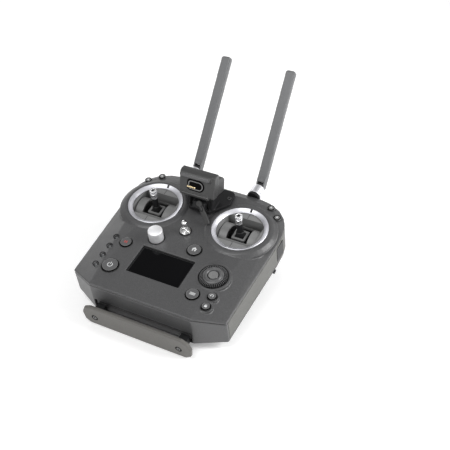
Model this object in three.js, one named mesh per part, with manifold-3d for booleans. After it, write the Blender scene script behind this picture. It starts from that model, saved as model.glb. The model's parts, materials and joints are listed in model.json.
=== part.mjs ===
// Hand-held radio transmitter for a camera drone: a wide, flat housing with two gimballed sticks, a small
// screen, buttons and dials, two folding blade antennas, a tilting display bracket and a slide-in battery.
// Millimetres, +Z up. The transmitter lies on its two hand grips and the lower edge of its front plate.
// Nearly every piece is drawn in the control panel's own frame: z = 0 is the flat middle of the panel, y = 0
// is the line through both stick centres, and x = 0 is the centre line. That frame is then tilted and lifted.
import * as THREE from "three";
import { ConvexGeometry } from "three/addons/geometries/ConvexGeometry.js";
import { mergeVertices } from "three/addons/utils/BufferGeometryUtils.js";
import Module from "manifold-3d";

const wasm = await Module();
wasm.setup();

// Driving dimensions ---------------------------------------------------------------------------------------
const PANEL_TILT = 10.8; // degrees, the back of the panel is the higher end
const PANEL_LIFT = 75.7; // height of the stick line above the surface it lies on
const ORIGIN_SHIFT_Y = 13.2; // puts the origin under the middle of the whole object
const GAP = 0.35; // between neighbouring pieces
const LID = 2.6; // thickness of the top cover
const WALL = 3.4; // housing wall
const FLOOR_Z = -47; // underside of the housing
const STICK_X = 54.5; // each stick's distance from the centre line
const RING_OUTER = 32.4;
const RING_INNER = 27;
const GIMBAL_Z = -21; // height of both gimbal axes
const SHAFT_TOP = 10; // where each stick's shaft ends, just under its metal tip
const BUTTON_END_Z = -12; // lower end of every button stem, just above the circuit board

// Half of the housing's plan outline, from the front to the back, as [x, y, height of its upper edge].
const EDGE = [
  [61.5, -132.5, -0.3],
  [94.5, -116, -10.5],
  [98.5, 0, -9.5],
  [98, 18, -9],
  [95.5, 30, -8.5],
  [90, 40.5, -8],
  [80.5, 50, -8],
  [66, 57, -8],
  [50, 60, -8],
];
// Corners of the flat middle of the panel and the raised pads at its back corners, one side.
const CREST = [
  [61, -132, 0],
  [57, -37, 0],
  [57, 30, 0],
  [38, 47, 0],
  [85, 36, -3],
  [72, 47, -3.5],
];

// Round buttons on the panel: x, y, cap radius, height of the top, height of the cover's underside there.
const BUTTONS = {
  power_button: { x: -53.5, y: -101.8, r: 9.3, top: 1.4, under: -2.6 },
  pause_button: { x: -55.2, y: -65.7, r: 6.9, top: 0.9, under: -2.6 },
  home_button: { x: 21.8, y: -47.1, r: 8.1, top: 1.2, under: -2.6 },
  menu_button: { x: 49.1, y: -102.6, r: 7.4, top: 0.9, under: -2.6 },
  back_button: { x: 69.5, y: -97.1, r: 4.8, top: 0.9, under: -6.4 },
  lock_button: { x: 69.5, y: -111.4, r: 4.8, top: 0.9, under: -6.4 },
  left_outer_button: { x: -84.7, y: 34, r: 3.9, top: -1.6, under: -6.6 },
  left_inner_button: { x: -72.1, y: 45.7, r: 3.9, top: -1.6, under: -6.6 },
  right_inner_button: { x: 72.1, y: 45.7, r: 3.9, top: -1.6, under: -6.6 },
  right_outer_button: { x: 84.7, y: 34, r: 3.9, top: -1.6, under: -6.6 },
};
const BUTTON_GAP = 0.55;
const WHEEL = { x: 58.5, y: -72.7, r: 16, bore: 6.3, teeth: 40 };
const KNOB = { x: -26.1, y: -47.5, r: 8.3, top: 13.3 };
const TOGGLE = { x: -0.8, y: -25.8 };
const SCREEN = { x0: -34.6, x1: 31, y0: -101.2, y1: -61.6 };
const LED_X = -70.5;
const LED_Y = [-62, -76.4, -90.8, -105.2];
const BATTERY = { x: 24, y0: -42, y1: 56, z0: -58, z1: -30 };
const ANTENNA = { x: 42.5, z: -8.5, pivotY: 81, angle: 42, length: 140, lean: -1.8 };
const HEAD = { y: 4.6, z: 29.3, angle: 69.5, half: 22, hingeV: -3, hingeW: -16 };
const PLATE_Y = -148.4; // outer face of the front plate

// Materials ------------------------------------------------------------------------------------------------
const finish = (color, roughness, metalness = 0) =>
  new THREE.MeshStandardMaterial({ color, roughness, metalness });
const MATERIAL = {
  shell: finish(0x4a4b4d, 0.55),
  side: finish(0x55554f, 0.7),
  rubber: finish(0x1c1c1e, 0.85),
  black: finish(0x161617, 0.5),
  button: finish(0x55565a, 0.45),
  silver: finish(0xc9cad0, 0.28, 1),
  chrome: finish(0xdededf, 0.12, 1),
  glass: finish(0x050506, 0.08),
  board: finish(0x14402a, 0.5),
  gold: finish(0xd2a85a, 0.3, 1),
  lens: finish(0xdfe6ea, 0.25),
};

// Solid helpers --------------------------------------------------------------------------------------------
// A closed three.js geometry as a manifold-3d solid, facing outwards.
function solid(geometry) {
  const bare = geometry.index ? geometry.toNonIndexed() : geometry.clone();
  for (const name of Object.keys(bare.attributes))
    if (name !== "position") bare.deleteAttribute(name);
  const merged = mergeVertices(bare, 1e-4);
  const p = merged.attributes.position.array;
  const kept = [];
  let volume = 0;
  const index = merged.index.array;
  for (let i = 0; i < index.length; i += 3) {
    const [a, b, c] = [index[i], index[i + 1], index[i + 2]];
    if (a === b || b === c || c === a) continue;
    kept.push(a, b, c);
    const [A, B, C] = [a, b, c].map((k) => new THREE.Vector3().fromArray(p, k * 3));
    volume += A.dot(B.cross(C));
  }
  const triVerts = new Uint32Array(volume < 0 ? kept.reverse() : kept);
  return new wasm.Manifold(
    new wasm.Mesh({ numProp: 3, vertProperties: p, triVerts }),
  );
}

function geometryOf(made) {
  const m = made.getMesh();
  const positions = new Float32Array(m.numVert * 3);
  for (let i = 0; i < m.numVert; i++)
    positions.set(m.vertProperties.subarray(i * m.numProp, i * m.numProp + 3), i * 3);
  const g = new THREE.BufferGeometry();
  g.setAttribute("position", new THREE.BufferAttribute(positions, 3));
  g.setIndex(new THREE.BufferAttribute(m.triVerts, 1));
  g.computeVertexNormals();
  return g;
}

const union = (first, ...rest) => rest.reduce((a, b) => a.add(b), first);
const cut = (first, ...rest) => rest.reduce((a, b) => a.subtract(b), first);

const box = (x0, x1, y0, y1, z0, z1) =>
  solid(
    new THREE.BoxGeometry(x1 - x0, y1 - y0, z1 - z0).translate(
      (x0 + x1) / 2,
      (y0 + y1) / 2,
      (z0 + z1) / 2,
    ),
  );

// Cylinders along each axis, from a to b, at the two other coordinates.
function cylinder(axis, r, a, b, u, v, segments = 20) {
  const g = new THREE.CylinderGeometry(r, r, b - a, segments);
  g.translate(0, (a + b) / 2, 0);
  if (axis === "x") return solid(g.rotateZ(-Math.PI / 2).translate(0, u, v));
  if (axis === "y") return solid(g.translate(u, 0, v));
  return solid(g.rotateX(Math.PI / 2).translate(u, v, 0));
}

// A body of revolution about a line along Z through (x, y); the profile is a list of [radius, z].
function turned(profile, x, y, segments = 28) {
  const points = profile.map(([r, z]) => new THREE.Vector2(r, z));
  if (points[0].x > 0) points.push(points[0].clone());
  const g = new THREE.LatheGeometry(points, segments);
  return solid(g.rotateX(Math.PI / 2).translate(x, y, 0));
}

const hull = (points) =>
  solid(new ConvexGeometry(points.map((q) => new THREE.Vector3(...q))));

// A plan outline, extruded from z0 to z1.
function prism(outline, z0, z1) {
  const shape = new THREE.Shape(outline.map(([x, y]) => new THREE.Vector2(x, y)));
  const g = new THREE.ExtrudeGeometry(shape, { depth: z1 - z0, bevelEnabled: false });
  return solid(g.translate(0, 0, z0));
}

const bothSides = (points) => points.flatMap(([x, ...rest]) => [[x, ...rest], [-x, ...rest]]);

// The housing's plan outline, moved inwards by an amount, counter-clockwise.
function outline(inset) {
  const half = EDGE.map(([x, y]) => {
    const length = Math.hypot(x, y + 40);
    return [x - (inset * x) / length, y - (inset * (y + 40)) / length];
  });
  return [...half, ...half.map(([x, y]) => [-x, y]).reverse()];
}

const panel = new THREE.Group();
panel.rotation.x = THREE.MathUtils.degToRad(PANEL_TILT);
panel.position.set(0, -ORIGIN_SHIFT_Y, PANEL_LIFT);

function piece(name, made, material, parent = panel) {
  const mesh = new THREE.Mesh(geometryOf(made), material);
  mesh.name = name;
  parent.add(mesh);
  return mesh;
}

// Height in the panel's frame of a point that lies h above the ground at panel coordinate y.
const tilt = THREE.MathUtils.degToRad(PANEL_TILT);
const overGround = (y, h) => (h - PANEL_LIFT - y * Math.sin(tilt)) / Math.cos(tilt);

// Top cover ------------------------------------------------------------------------------------------------
// The crowned block between the panel's surface, lowered by drop, and a flat underside.
function crowned(drop, spread, underside) {
  const points = bothSides([...CREST, ...EDGE]).map(([x, y, z]) => [
    x * spread,
    (y + 40) * spread - 40,
    z - drop,
  ]);
  const base = outline(0).map(([x, y]) => [x * spread, (y + 40) * spread - 40, underside]);
  return hull([...points, ...base]);
}

const collarProfile = [
  [RING_OUTER + GAP, -6],
  [RING_OUTER + GAP, 1.9],
  [35.5, 1.9],
  [38.5, 1.1],
  [42.8, -2.4],
  [42.8, -6],
];

function topCover() {
  let cover = cut(crowned(0, 1, -20), crowned(LID + 0.5, 1.02, -30));
  for (const side of [-1, 1])
    cover = union(cover, turned(collarProfile, side * STICK_X, 0, 40));
  // A flat round pad carries the selection wheel, and two more carry the small buttons on the sloping wing.
  cover = union(cover, cylinder("z", WHEEL.r + 3.4, -7, 0, WHEEL.x, WHEEL.y, 36));
  for (const b of [BUTTONS.back_button, BUTTONS.lock_button])
    cover = union(cover, cylinder("z", b.r + 2.2, -6.2, -0.9, b.x, b.y, 20));
  for (const side of [-1, 1])
    cover = cut(cover, cylinder("z", RING_OUTER + GAP, -20, 10, side * STICK_X, 0, 40));
  cover = cut(
    cover,
    cylinder("z", WHEEL.r + 0.8, -2.5, 5, WHEEL.x, WHEEL.y, 36),
    cylinder("z", WHEEL.bore, -20, 5, WHEEL.x, WHEEL.y, 24),
    cylinder("z", KNOB.r + 1.1, -0.7, 5, KNOB.x, KNOB.y, 24),
    cylinder("z", 3.5, -20, 5, KNOB.x, KNOB.y, 16),
    cylinder("z", 4.4, -20, 5, TOGGLE.x, TOGGLE.y, 16),
    box(SCREEN.x0, SCREEN.x1, SCREEN.y0, SCREEN.y1, -20, 5),
  );
  for (const b of Object.values(BUTTONS))
    cover = cut(cover, cylinder("z", b.r + BUTTON_GAP, -20, 5, b.x, b.y, b.r > 6 ? 24 : 16));
  for (const y of LED_Y)
    cover = cut(
      cover,
      cylinder("z", 2.6, -20, 5, LED_X, y, 12),
      cylinder("z", 3.3, -3.7, 5, LED_X, y, 12),
    );
  return cover;
}
piece("top_cover", topCover(), MATERIAL.shell);

// Housing --------------------------------------------------------------------------------------------------
const SIDE_ZONE = { x: 90, y0: -113, y1: 27, z0: -40 };
const PORT = { y0: 1, y1: 17, z0: -36, z1: -16, x: 97 };
const REAR_DIAL = { x: 78.5, y: 40.5, r: 11, z0: -26, z1: -20 };
const REAR_BUTTON = { x: 60, r: 4.5, z: -24 };
const RECESS = { x: 60, y: -126, z0: -42.5, z1: -26 };

function outerBody() {
  const upper = bothSides([...CREST, ...EDGE]).map(([x, y, z]) => [x, y, z - LID - 0.9]);
  const middle = outline(0).map(([x, y]) => [x, y, -42.5]);
  const lower = outline(4.5).map(([x, y]) => [x, y, FLOOR_Z]);
  return hull([...upper, ...middle, ...lower]);
}

function bottomHousing() {
  const outer = outerBody();
  const battery = BATTERY;
  let housing = cut(outer, prism(outline(WALL), FLOOR_Z + 2.6, 20));
  // The front wall is thicker behind the vent recess.
  const block = box(-RECESS.x - 3, RECESS.x + 3, -132, RECESS.y + 3, FLOOR_Z + 1, -22);
  housing = union(housing, block.intersect(outer));
  housing = cut(housing, box(-RECESS.x, RECESS.x, -150, RECESS.y, RECESS.z0, RECESS.z1));
  // Battery channel, open to the rear, with two rails under the battery.
  const bx = battery.x + 0.4;
  housing = union(housing, box(-bx - 3, bx + 3, battery.y0 - 2.4, 58, battery.z0 - 2.2, battery.z1 + 2));
  housing = cut(
    housing,
    box(-bx, bx, battery.y0 - GAP, 80, battery.z0 - GAP, battery.z1 + GAP),
    box(-bx + 4, bx - 4, battery.y0 + 4, 80, battery.z0 - 10, battery.z0 + 1),
  );
  for (const side of [-1, 1]) {
    // Seats for the side panels, the rear dials, the rear buttons and the antenna sockets.
    const zone = side > 0 ? [SIDE_ZONE.x, 120] : [-120, -SIDE_ZONE.x];
    const seat = cut(
      box(...zone, SIDE_ZONE.y0, SIDE_ZONE.y1, SIDE_ZONE.z0, 0),
      prism(outline(1.6), -60, 20),
    );
    housing = cut(
      housing,
      seat,
      cylinder(
        "z", REAR_DIAL.r + 0.7, REAR_DIAL.z0 - 0.7, REAR_DIAL.z1 + 0.7, side * REAR_DIAL.x, REAR_DIAL.y, 28,
      ),
      cylinder("y", REAR_BUTTON.r + 0.4, 40, 80, side * REAR_BUTTON.x, REAR_BUTTON.z, 20),
    );
    // Room under the small buttons at the rear corners.
    for (const b of Object.values(BUTTONS).filter((b) => b.y > 0 && b.x * side > 0))
      housing = cut(housing, cylinder("z", b.r + 1.7, -10.6, 0, b.x, b.y, 16));
    // A post under the rear dial's axle.
    housing = union(
      housing,
      cylinder("z", 4, FLOOR_Z + 1, REAR_DIAL.z0 - 4.4, side * REAR_DIAL.x, REAR_DIAL.y, 16),
    );
  }
  return housing;
}
piece("bottom_housing", bottomHousing(), MATERIAL.shell);

for (const side of [-1, 1]) {
  const name = side < 0 ? "left" : "right";
  const zone = side > 0 ? [SIDE_ZONE.x, 120] : [-120, -SIDE_ZONE.x];
  let skin = cut(outerBody(), prism(outline(1.25), -60, 20)).intersect(
    box(...zone, SIDE_ZONE.y0 + GAP, SIDE_ZONE.y1 - GAP, SIDE_ZONE.z0 + GAP, 0),
  );
  if (side > 0)
    skin = cut(skin, box(90, 120, PORT.y0 - GAP, PORT.y1 + GAP, PORT.z0 - GAP, PORT.z1 + GAP));
  piece(`side_panel_${name}`, skin, MATERIAL.side);
}
piece(
  "port_cover",
  box(PORT.x + 0.2, PORT.x + 1.9, PORT.y0, PORT.y1, PORT.z0, PORT.z1),
  MATERIAL.rubber,
);

// Hand grips under the housing, and the rubber feet that the transmitter lies on.
const FOOT = { x0: 48, x1: 74, y0: -6, y1: 30, h: 2.2 };
for (const side of [-1, 1]) {
  const name = side < 0 ? "left" : "right";
  const top = [
    [38, -62], [74, -62], [80, -44], [80, 38], [72, 48], [42, 48], [35, 38], [35, -50],
  ].map(([x, y]) => [side * x, y, FLOOR_Z - GAP]);
  const mid = [
    [44, -40, 18], [76, -36, 18], [78, 34, 14], [42, 36, 14],
  ].map(([x, y, h]) => [side * x, y, overGround(y, h)]);
  const low = [
    [FOOT.x0 - 2, -14], [FOOT.x1 + 2, -14], [FOOT.x1 + 2, 36], [FOOT.x0 - 2, 36],
  ].map(([x, y]) => [side * x, y, overGround(y, FOOT.h + GAP)]);
  piece(`grip_${name}`, hull([...top, ...mid, ...low]), MATERIAL.shell);
  const foot = [];
  for (const x of [FOOT.x0, FOOT.x1])
    for (const y of [FOOT.y0, FOOT.y1])
      for (const h of [0, FOOT.h]) foot.push([side * x, y, overGround(y, h)]);
  piece(`grip_foot_${name}`, hull(foot), MATERIAL.rubber);
}

// Cover in the front recess: a tray that stands forward of its floor, with two long grooves near its top.
function frontGrille() {
  const g = RECESS;
  const tray = union(
    box(-g.x + GAP, g.x - GAP, g.y - 2, g.y - GAP, g.z0 + GAP, g.z1 - GAP),
    hull([
      ...[-g.y + 1.5, -g.y + 5.2].flatMap((y) => [
        [g.x - 1.6, -y, -29.2], [g.x - 5, -y, -27.4], [g.x - 1.6, -y, -37], [g.x - 5, -y, -40.5],
        [-g.x + 1.6, -y, -29.2], [-g.x + 5, -y, -27.4], [-g.x + 1.6, -y, -37], [-g.x + 5, -y, -40.5],
      ]),
    ]),
  );
  return cut(
    tray,
    ...[-29.6, -31.9].map((z) => box(-g.x + 4, g.x - 4, g.y - 8, g.y - 3.6, z - 0.45, z + 0.45)),
  );
}
piece("front_grille", frontGrille(), MATERIAL.black);

// Front plate on two short arms, each held by a screw.
const PLATE = { z0: overGround(PLATE_Y + 0.9, 0), z1: -20.5, thickness: 4.2, armX: 52.2, screwZ: -37 };
function frontPlate() {
  const back = PLATE_Y + PLATE.thickness;
  const face = [
    [0, PLATE.z1], [56, PLATE.z1 - 0.5], [64, -25], [67.5, -33], [66, -44], [60, -48.6],
    [30, PLATE.z0], [0, PLATE.z0],
  ];
  const loop = [...face, ...face.map(([x, z]) => [-x, z]).reverse()];
  const points = [];
  for (const [x, z] of loop) {
    points.push([x, PLATE_Y + 0.9, z], [x * 0.985, PLATE_Y, (z + 36) * 0.93 - 36], [x, back, z]);
  }
  let plate = hull(points);
  for (const side of [-1, 1])
    plate = cut(
      plate,
      cylinder("y", 1.9, -160, -130, side * PLATE.armX, PLATE.screwZ, 16),
      cylinder("y", 3.8, -160, PLATE_Y + 2.4, side * PLATE.armX, PLATE.screwZ, 20),
    );
  return plate;
}
piece("front_plate", frontPlate(), MATERIAL.shell);
for (const side of [-1, 1]) {
  const name = side < 0 ? "left" : "right";
  const x = side * PLATE.armX;
  const arm = cut(
    box(x - 5, x + 5, PLATE_Y + PLATE.thickness + GAP, -131.6 + 0.1, -42, -32.5),
    cylinder("y", 1.9, -150, -134, x, PLATE.screwZ, 16),
  );
  piece(`plate_arm_${name}`, arm, MATERIAL.black);
  const screw = cut(
    union(
      cylinder("y", 3.4, PLATE_Y + 0.4, PLATE_Y + 2.1, x, PLATE.screwZ, 20),
      cylinder("y", 1.5, PLATE_Y + 1.8, PLATE_Y + 11, x, PLATE.screwZ, 16),
    ),
    cylinder("y", 1.3, -160, PLATE_Y + 1.4, x, PLATE.screwZ, 6),
  );
  piece(`plate_screw_${name}`, screw, MATERIAL.black);
}

// Sticks ---------------------------------------------------------------------------------------------------
for (const side of [-1, 1]) {
  const name = side < 0 ? "left" : "right";
  const x = side * STICK_X;
  // The ring's face slopes down towards its opening.
  const ring = turned(
    [
      [RING_INNER, -1.2], [RING_INNER, -0.5], [31.7, 2.2], [RING_OUTER, 1.7], [RING_OUTER, -1.2],
    ],
    x,
    0,
    40,
  );
  piece(`stick_ring_${name}`, ring, MATERIAL.silver);

  // The fixed case: a round face plate with a window, on a box that carries the drum's journals.
  let gimbalCase = union(
    cylinder("z", 32.1, -7.6, -1.55, x, 0, 36),
    box(x - 27, x + 27, -23, 23, -43.6, -6.5),
  );
  gimbalCase = cut(
    gimbalCase,
    box(x - 23.2, x + 23.2, -18.9, 18.9, -41.6, 5),
    cylinder("x", 3.4, x - 26, x + 26, 0, GIMBAL_Z, 16),
  );
  piece(`gimbal_case_${name}`, gimbalCase, MATERIAL.shell);

  // The drum turns about X; its window shows the stick's rocker.
  let drum = cut(
    cylinder("x", 18, x - 22.4, x + 22.4, 0, GIMBAL_Z, 32),
    cylinder("x", 15.8, x - 20.4, x + 20.4, 0, GIMBAL_Z, 28),
    box(x - 30, x + 30, -30, 30, -60, GIMBAL_Z - 6.5),
    box(x - 12.8, x + 12.8, -11.5, 11.5, GIMBAL_Z, 10),
    cylinder("y", 2.3, -30, 30, x, GIMBAL_Z, 12),
  );
  drum = union(
    drum,
    cylinder("x", 3, x - 25.4, x - 21.5, 0, GIMBAL_Z, 16),
    cylinder("x", 3, x + 21.5, x + 25.4, 0, GIMBAL_Z, 16),
  );
  piece(`gimbal_drum_${name}`, drum, MATERIAL.shell);

  // The rocker turns about Y inside the drum and carries the stick's shaft.
  let rocker = cut(
    cylinder("y", 11, -9.5, 9.5, x, GIMBAL_Z, 28),
    box(x - 20, x + 20, -20, 20, -60, GIMBAL_Z - 4.5),
  );
  rocker = union(
    rocker,
    cylinder("y", 2, -16.8, 16.8, x, GIMBAL_Z, 12),
    cylinder("z", 3.4, GIMBAL_Z, SHAFT_TOP, x, 0, 20),
    cylinder("z", 1.8, SHAFT_TOP - 1, SHAFT_TOP + 6, x, 0, 12),
  );
  piece(`stick_rocker_${name}`, rocker, MATERIAL.black);

  const z = SHAFT_TOP + GAP;
  const tip = turned(
    [
      [2.15, z], [3.6, z], [4.1, z + 0.8], [4.1, z + 6.6], [3.6, z + 7], [3.6, z + 7.6], [4.15, z + 8.1],
      [4.15, z + 11.6], [3.5, z + 12.6], [2.15, z + 11.8],
    ],
    x,
    0,
    20,
  );
  piece(`stick_tip_${name}`, union(tip, cylinder("z", 3, z + 8, z + 11.8, x, 0, 16)), MATERIAL.silver);
}

// Buttons --------------------------------------------------------------------------------------------------
for (const [name, b] of Object.entries(BUTTONS)) {
  const flange = b.under - 1.3;
  const button = turned(
    [
      [0, BUTTON_END_Z], [1.6, BUTTON_END_Z], [1.6, flange - 1], [b.r + 1.1, flange - 1], [b.r + 1.1, flange],
      [b.r, flange], [b.r, b.top - 0.6], [b.r - 0.8, b.top], [0, b.top + 0.25],
    ],
    b.x,
    b.y,
    b.r > 6 ? 24 : 16,
  );
  piece(name, button, MATERIAL.button);
}

// Selection wheel with its push button, the metal knob and the toggle.
function selectionWheel() {
  const { x, y, r, bore, teeth } = WHEEL;
  let wheel = turned(
    [
      [bore, -2.15], [r - 0.7, -2.15], [r - 0.7, 1.6], [r - 2, 2.3], [9.6, 2.9], [9, 3.9], [7.4, 3.9],
      [bore, 2.6],
    ],
    x,
    y,
    40,
  );
  for (let i = 0; i < teeth; i++) {
    const a = (i * 2 * Math.PI) / teeth;
    const tooth = new THREE.BoxGeometry(1.6, 1.2, 3.2).translate(r - 0.8, 0, -0.2).rotateZ(a);
    wheel = union(wheel, solid(tooth.translate(x, y, 0)));
  }
  return wheel;
}
piece("selection_wheel", selectionWheel(), MATERIAL.black);
piece(
  "wheel_button",
  turned(
    [
      [0, BUTTON_END_Z], [2, BUTTON_END_Z], [2, -8.8], [8, -8.8], [8, -7.4], [5.75, -7.4], [5.75, 2.4],
      [5.2, 2.9], [0, 3.1],
    ],
    WHEEL.x,
    WHEEL.y,
    24,
  ),
  MATERIAL.button,
);
piece(
  "exposure_knob",
  turned(
    [
      [0, -11], [3, -11], [3, -0.3], [KNOB.r, -0.3], [KNOB.r, KNOB.top - 0.7], [KNOB.r - 0.7, KNOB.top],
      [0, KNOB.top],
    ],
    KNOB.x,
    KNOB.y,
    28,
  ),
  MATERIAL.silver,
);
piece(
  "toggle_bushing",
  turned(
    [
      [3.4, -8], [4, -8], [4, GAP], [6.4, GAP], [6.4, 2], [4.5, 2.2], [4.5, 4.6], [3.4, 4.6],
    ],
    TOGGLE.x,
    TOGGLE.y,
    20,
  ),
  MATERIAL.chrome,
);
piece(
  "toggle_lever",
  turned(
    [
      [0, -7], [1.3, -7], [1.3, -2], [2.2, 0], [1.7, 3], [1.8, 5], [2.6, 7], [3.1, 10.5], [3.2, 14],
      [2.3, 16], [0, 16.5],
    ],
    TOGGLE.x,
    TOGGLE.y,
    16,
  ),
  MATERIAL.chrome,
);

// Screen, battery-level light pipe and circuit board under the cover.
piece(
  "screen",
  box(SCREEN.x0 - 3, SCREEN.x1 + 3, SCREEN.y0 - 3, SCREEN.y1 + 3, -9, -LID - 0.6),
  MATERIAL.glass,
);
function lightPipe() {
  let pipe = box(LED_X - 2.2, LED_X + 2.2, LED_Y[3] - 3, LED_Y[0] + 3, -8.6, -7.2);
  for (const y of LED_Y) pipe = union(pipe, cylinder("z", 2.2, -8, -3.1, LED_X, y, 12));
  return pipe;
}
piece("status_light_pipe", lightPipe(), MATERIAL.lens);
piece("main_board", box(-84, 84, -112, -29, -15, -13.4), MATERIAL.board);

// Rear controls --------------------------------------------------------------------------------------------
for (const side of [-1, 1]) {
  const name = side < 0 ? "left" : "right";
  const d = REAR_DIAL;
  const dial = union(
    cylinder("z", d.r, d.z0, d.z1, side * d.x, d.y, 28),
    cylinder("z", 2, d.z0 - 4, d.z1 + 4, side * d.x, d.y, 12),
  );
  piece(`rear_dial_${name}`, dial, MATERIAL.black);
  const b = REAR_BUTTON;
  const shoulder = side < 0 ? "record_button" : "shutter_button";
  const button = union(
    cylinder("y", b.r, 50, 60.6, side * b.x, b.z, 20),
    cylinder("y", b.r + 1.6, 50, 51.4, side * b.x, b.z, 20),
  );
  piece(shoulder, button, MATERIAL.button);
  const lever = union(
    cylinder("z", 4, FLOOR_Z - 4.6, FLOOR_Z - GAP, side * 85.2, -3, 16),
    hull(
      [-5.4, -1].flatMap((y) =>
        [-2.2, -5.2].flatMap((dz) => [
          [side * 85, y, FLOOR_Z + dz],
          [side * 96.8, y + 0.6, FLOOR_Z + dz],
        ]),
      ),
    ),
  );
  piece(`rear_lever_${name}`, lever, MATERIAL.black);
}

// Battery --------------------------------------------------------------------------------------------------
function batteryPack() {
  const { x, y0, y1, z0, z1 } = BATTERY;
  const c = 2.2;
  const section = [
    [-x + c, z0], [x - c, z0], [x, z0 + c], [x, z1 - c], [x - c, z1], [-x + c, z1], [-x, z1 - c],
    [-x, z0 + c],
  ];
  const points = section.flatMap(([px, pz]) => [
    [px, y0 + 1, pz],
    [px, y1 - 1, pz],
    [px * 0.96, y0, (pz + 44) * 0.93 - 44],
    [px * 0.96, y1, (pz + 44) * 0.93 - 44],
  ]);
  return hull(points);
}
piece("battery_pack", batteryPack(), MATERIAL.black);

// Antennas -------------------------------------------------------------------------------------------------
for (const side of [-1, 1]) {
  const name = side < 0 ? "left" : "right";
  // The collar turns on the housing's back wall and ends in a knuckle. It is turned a little to one side.
  const antenna = new THREE.Group();
  antenna.position.set(side * ANTENNA.x, ANTENNA.pivotY, ANTENNA.z);
  antenna.rotation.y = THREE.MathUtils.degToRad(ANTENNA.lean);
  panel.add(antenna);
  piece(
    `antenna_collar_${name}`,
    cut(
      union(
        cylinder("y", 7.7, -18.7, -5.8, 0, 0, 24),
        hull(
          [-3.1, 3.1].flatMap((x) =>
            [
              [-6, -4.6], [-6, 4.6], [0, -4.6], [3.6, -3], [4.6, 0], [3.6, 3], [0, 4.6],
            ].map(([y, z]) => [x, y, z]),
          ),
        ),
      ),
      cylinder("x", 1.9, -10, 10, 0, 0, 12),
    ),
    MATERIAL.silver,
    antenna,
  );
  const blade = new THREE.Group();
  blade.rotation.x = THREE.MathUtils.degToRad(ANTENNA.angle);
  antenna.add(blade);
  const w = 5.4;
  const t = 4.3;
  const ends = [];
  for (const sx of [-1, 1])
    for (const sz of [-1, 1]) {
      ends.push([sx * w, -4, sz * 2.6], [sx * w, -2, sz * t], [sx * w, ANTENNA.length - 2, sz * t]);
      ends.push([sx * (w - 1.4), ANTENNA.length, sz * (t - 1.2)]);
    }
  let body = hull(ends);
  body = cut(body, box(-3.5, 3.5, -10, 9.5, -10, 10));
  body = union(body, cylinder("x", 1.55, -4.5, 4.5, 0, 0, 12));
  piece(`antenna_blade_${name}`, body, MATERIAL.shell, blade);
}

// Display bracket ------------------------------------------------------------------------------------------
const headAngle = THREE.MathUtils.degToRad(HEAD.angle);
const hinge = {
  y: HEAD.y + HEAD.hingeV * Math.cos(headAngle) - HEAD.hingeW * Math.sin(headAngle),
  z: HEAD.z + HEAD.hingeV * Math.sin(headAngle) + HEAD.hingeW * Math.cos(headAngle),
};
const LOCK = { x: 3, y: 4, z: 18, slope: 45, turn: -49, length: 24.5 };
function mountFoot() {
  const plan = [
    [29.5, 26], [28, 43], [24, 46], [-24, 46], [-28, 43], [-29.5, 26], [-13, 6], [13, 6],
  ];
  let foot = union(prism(plan.reverse(), 2.4, 6.6), box(-13, 13, 9, 40, GAP, 3));
  for (const x of [-16.6, 12.4])
    foot = union(
      foot,
      hull(
        [x, x + 4.2].flatMap((px) => [
          [px, 8, 6], [px, 26, 6], [px, hinge.y - 5, hinge.z + 2], [px, hinge.y - 2.5, hinge.z + 5],
          [px, hinge.y + 2.5, hinge.z + 5], [px, hinge.y + 5, hinge.z + 2],
        ]),
      ),
    );
  // The sloping post that carries the lock lever.
  const post = [
    [6, 6], [12, 6], [11.5, 17], [6.4, 17.4], [1.4, 12.4],
  ];
  foot = union(foot, hull([-6, 9].flatMap((x) => post.map(([y, z]) => [x, y, z]))));
  return cut(foot, cylinder("x", 2.7, -30, 30, hinge.y, hinge.z, 16));
}
piece("mount_foot", mountFoot(), MATERIAL.black);

// The head is drawn with its flat face in its own XY plane, x across, y up the face, z out of it.
const head = new THREE.Group();
head.position.set(0, HEAD.y, HEAD.z);
head.rotation.x = headAngle;
panel.add(head);
function mountHead() {
  const h = HEAD.half;
  const across = (x, side) => side.map(([y, z]) => [x, y, z]);
  const front = [[0, 0], [25.4, 0], [27.6, -3], [28.4, -8], [26, -10], [0, -10]];
  const rear = [[0, -8], [21, -8], [20, -22], [16.5, -26.5], [1, -28.5]];
  const brow = [[19.6, -1], [26, -2], [25.6, 0.6], [23.6, 2.8], [20.2, 2.8]];
  const sill = [[-2, -3], [1.6, -3], [1.6, 1.4], [0.6, 2.4], [-2, 1.6]];
  let body = union(
    hull([...across(-h, front), ...across(h, front)]),
    hull([...across(-h + 1, rear), ...across(h - 1, rear)]),
    hull([...across(-h + 1, brow), ...across(h - 5, brow)]),
    hull([...across(-h + 2, sill), ...across(h - 6, sill)]),
    cylinder("x", 5, -11.9, 11.9, HEAD.hingeV, HEAD.hingeW, 20),
    box(-11.9, 11.9, HEAD.hingeV, 3, HEAD.hingeW - 4.4, HEAD.hingeW + 4.4),
  );
  // Slots for the foot's cheeks, then the pins that turn in them.
  for (const x of [-17.1, 11.9])
    body = cut(body, cylinder("x", 6.6, x, x + 5.2, HEAD.hingeV, HEAD.hingeW, 20));
  body = union(body, cylinder("x", 2.3, -16.4, 16.4, HEAD.hingeV, HEAD.hingeW, 12));
  // Pocket for the contacts, flat at its left end and round at the other.
  return cut(body, box(-12, 2.5, 6.4, 16.2, -3, 5), cylinder("z", 6.6, -3, 5, 2.5, 11.3, 20));
}
piece("mount_head", mountHead(), MATERIAL.shell, head);
piece("contact_block", box(-11.4, -1.5, 7.1, 10.3, -3 + GAP, -0.3), MATERIAL.gold, head);
const lever = new THREE.Group();
lever.position.set(LOCK.x, LOCK.y, LOCK.z);
lever.rotation.set(THREE.MathUtils.degToRad(LOCK.slope), 0, THREE.MathUtils.degToRad(LOCK.turn));
panel.add(lever);
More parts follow.
